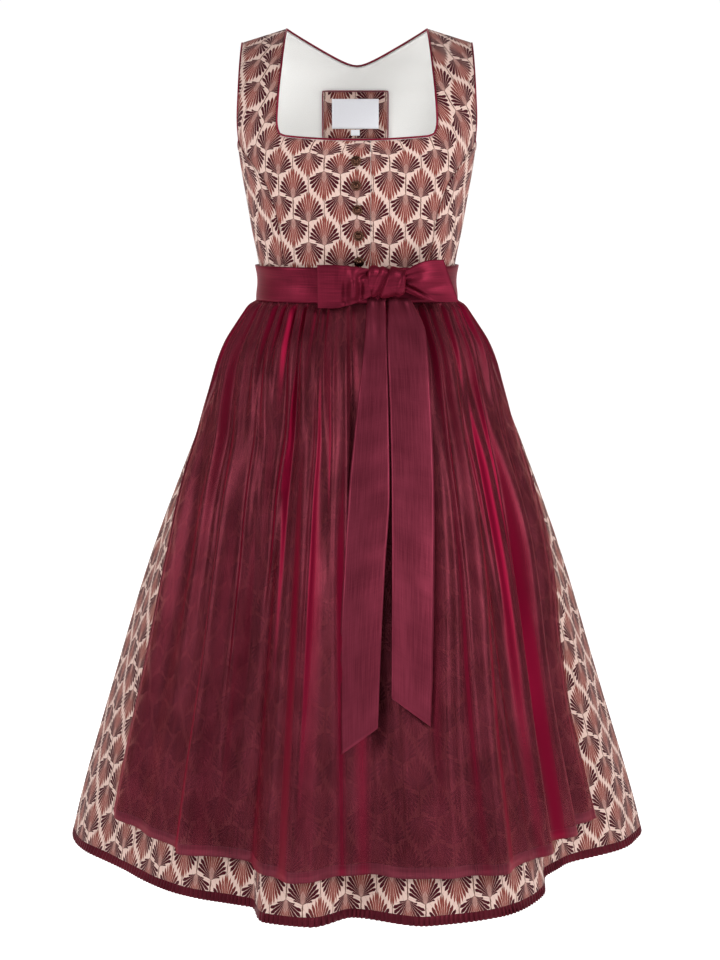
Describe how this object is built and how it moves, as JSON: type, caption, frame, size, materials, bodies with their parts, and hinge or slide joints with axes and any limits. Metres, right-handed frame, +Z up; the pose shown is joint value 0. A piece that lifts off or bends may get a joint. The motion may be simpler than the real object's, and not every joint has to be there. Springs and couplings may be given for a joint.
{
  "type": "dirndl",
  "caption": "Sleeveless midi dirndl with a square neck, buttoned bodice, gathered print skirt, frilled hem and a satin apron tied in a front bow.",
  "frame": {"origin": "midway between the two shoulder straps, where a wearer's shoulders carry the dress", "axes": "+X to the viewer's right (the wearer's left), -Y to the front with the buttons and apron, +Z up"},
  "size_m": [0.7032, 0.6745, 0.9934],
  "materials": {
    "print": "matt printed cotton",
    "lining": "matt plain cotton",
    "satin": "soft satin with a cross rib",
    "apron": "slightly sheer satin",
    "piping": "satin cord",
    "label": "woven satin tape",
    "button": "antique dark brass"
  },
  "bodies": {
    "root": {"bodice_front_left": "print", "bodice_front_right": "print", "bodice_side_front_left": "print", "bodice_side_front_right": "print", "bodice_side_back_left": "print", "bodice_side_back_right": "print", "bodice_back": "print", "back_lining": "lining", "label_patch": "print", "label_piping": "piping", "label": "label", "size_tab": "label", "piping_neck": "piping", "piping_armhole_left": "piping", "piping_armhole_right": "piping", "button_1": "button", "button_2": "button", "button_3": "button", "button_4": "button", "button_5": "button", "skirt_front": "print", "skirt_back_left": "print", "skirt_back_right": "print", "frill_front": "satin", "frill_back_left": "satin", "frill_back_right": "satin", "apron": "apron", "apron_band": "satin", "tie_left": "satin", "tie_right": "satin", "bow_knot": "satin", "bow_loop_left": "satin", "bow_loop_right": "satin", "bow_tail_left": "satin", "bow_tail_right": "satin"}
  },
  "joints": []
}
